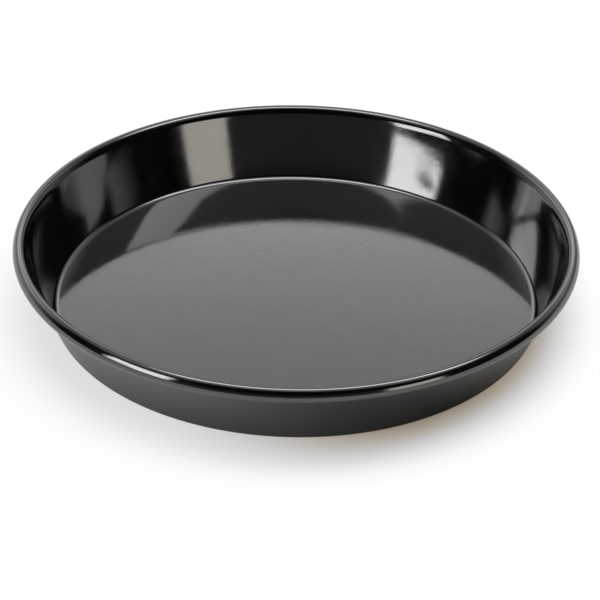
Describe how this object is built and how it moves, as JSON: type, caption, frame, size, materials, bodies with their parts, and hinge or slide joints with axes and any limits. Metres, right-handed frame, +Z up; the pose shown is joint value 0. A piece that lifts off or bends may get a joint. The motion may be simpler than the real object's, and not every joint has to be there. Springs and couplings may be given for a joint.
{
  "type": "pizza pan",
  "caption": "Round deep pizza pan of black enamelled sheet steel, with a flat floor, a wall that leans outwards and a rim rolled into a bead; holds a pizza in the oven.",
  "frame": {"origin": "on the ground, under the middle of the pan's floor", "axes": "+Z up along the pan's axis, -Y towards the viewer of the picture, +X to the viewer's right"},
  "size_m": [0.3, 0.3, 0.0415],
  "materials": {
    "steel_sheet": "bare cold-rolled sheet, seen only inside the hollow bead",
    "gloss_enamel": "black vitreous enamel, mirror gloss with a faint orange peel",
    "outside_enamel": "black vitreous enamel, gloss a little softer than inside"
  },
  "bodies": {
    "root": {"steel_pan": "steel_sheet", "inner_enamel": "gloss_enamel", "outer_enamel": "outside_enamel"}
  },
  "joints": []
}
